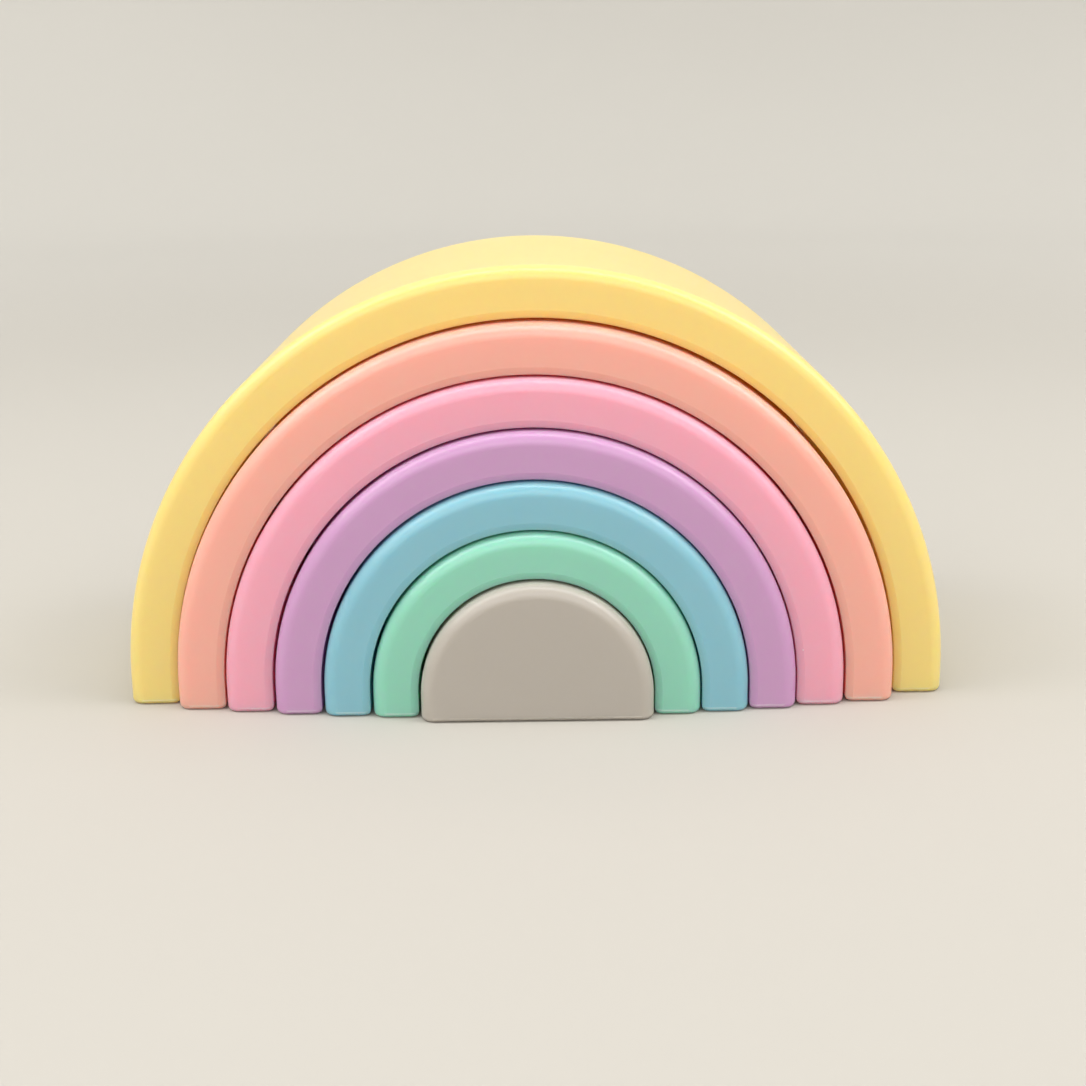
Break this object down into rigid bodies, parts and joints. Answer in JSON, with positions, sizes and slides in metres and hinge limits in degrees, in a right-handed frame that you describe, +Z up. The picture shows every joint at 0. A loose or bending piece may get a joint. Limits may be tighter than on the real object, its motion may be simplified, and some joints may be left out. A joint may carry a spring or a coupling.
{
  "type": "rainbow stacker",
  "caption": "Nesting half-round arches in pastel moulded silicone around a solid half-disc; every piece slides out of the nest to be stacked or balanced.",
  "frame": {"origin": "under the middle of the staggered nest, on the surface that it stands on", "axes": "+X across the rainbow, to the right seen from the front; -Y towards the front; +Z up"},
  "size_m": [0.14, 0.0711, 0.0741],
  "materials": {
    "yellow_silicone": "satin moulded silicone",
    "peach_silicone": "satin moulded silicone",
    "pink_silicone": "satin moulded silicone",
    "lilac_silicone": "satin moulded silicone",
    "blue_silicone": "satin moulded silicone",
    "mint_silicone": "satin moulded silicone",
    "grey_silicone": "satin moulded silicone"
  },
  "bodies": {
    "yellow_arch": {"yellow_arch": "yellow_silicone"},
    "peach_arch": {"peach_arch": "peach_silicone"},
    "pink_arch": {"pink_arch": "pink_silicone"},
    "lilac_arch": {"lilac_arch": "lilac_silicone"},
    "blue_arch": {"blue_arch": "blue_silicone"},
    "mint_arch": {"mint_arch": "mint_silicone"},
    "grey_half_disc": {"grey_half_disc": "grey_silicone"}
  },
  "joints": [
    {"name": "peach_slide", "type": "slide", "parent": "yellow_arch", "child": "peach_arch", "axis": [-0.0083, -1, 0], "range_m": [-0.072, 0.072]},
    {"name": "pink_slide", "type": "slide", "parent": "yellow_arch", "child": "pink_arch", "axis": [-0.0083, -1, 0], "range_m": [-0.072, 0.072]},
    {"name": "lilac_slide", "type": "slide", "parent": "yellow_arch", "child": "lilac_arch", "axis": [-0.0083, -1, 0], "range_m": [-0.072, 0.072]},
    {"name": "blue_slide", "type": "slide", "parent": "yellow_arch", "child": "blue_arch", "axis": [-0.0083, -1, 0], "range_m": [-0.072, 0.072]},
    {"name": "mint_slide", "type": "slide", "parent": "yellow_arch", "child": "mint_arch", "axis": [-0.0083, -1, 0], "range_m": [-0.072, 0.072]},
    {"name": "half_disc_slide", "type": "slide", "parent": "yellow_arch", "child": "grey_half_disc", "axis": [-0.0083, -1, 0], "range_m": [-0.072, 0.072]}
  ]
}
